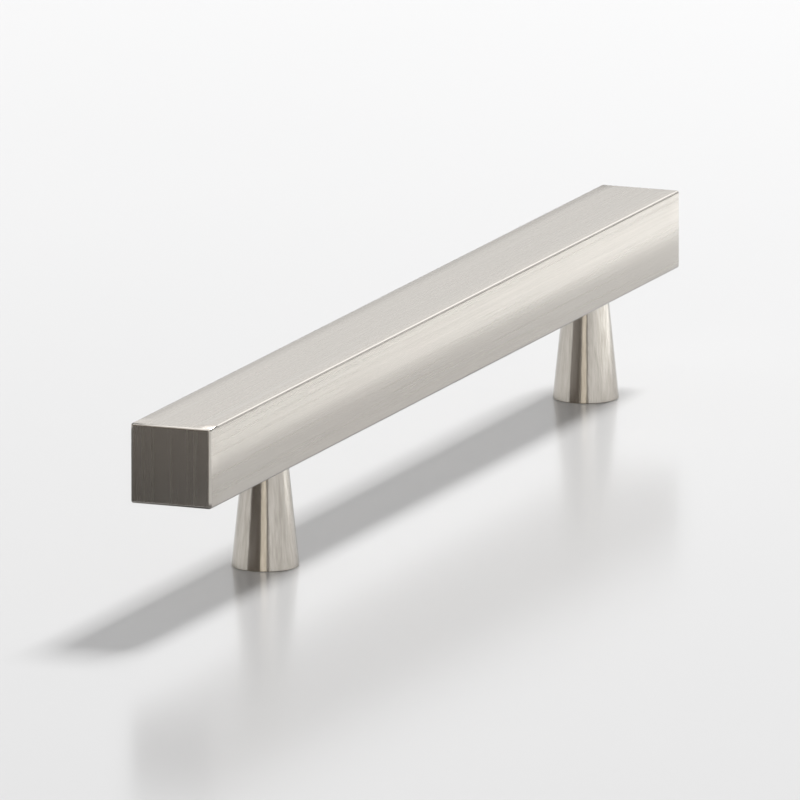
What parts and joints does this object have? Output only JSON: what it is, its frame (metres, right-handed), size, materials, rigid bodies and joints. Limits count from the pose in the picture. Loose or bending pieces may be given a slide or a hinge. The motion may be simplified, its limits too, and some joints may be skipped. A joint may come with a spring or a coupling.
{
  "type": "cabinet pull",
  "caption": "Bar-type cabinet pull: a slim oblong-section grip bar with crisp edges on two tapered round posts, tapped from the back for screws through the door.",
  "frame": {"origin": "on the door's face, midway between the axes of the two fixing screws", "axes": "+X along the bar, towards its short overhang; +Z away from the door; Y across the bar"},
  "size_m": [0.187, 0.0126, 0.0277],
  "materials": {
    "satin_nickel_bar": "satin nickel, brushed along the bar and up and down on its ends",
    "satin_nickel_posts": "satin nickel, with fine upright brushing",
    "stud_steel": "plain zinc-plated steel"
  },
  "bodies": {
    "root": {"grip_bar": "satin_nickel_bar", "left_post": "satin_nickel_posts", "right_post": "satin_nickel_posts", "left_stud": "stud_steel", "right_stud": "stud_steel"}
  },
  "joints": []
}
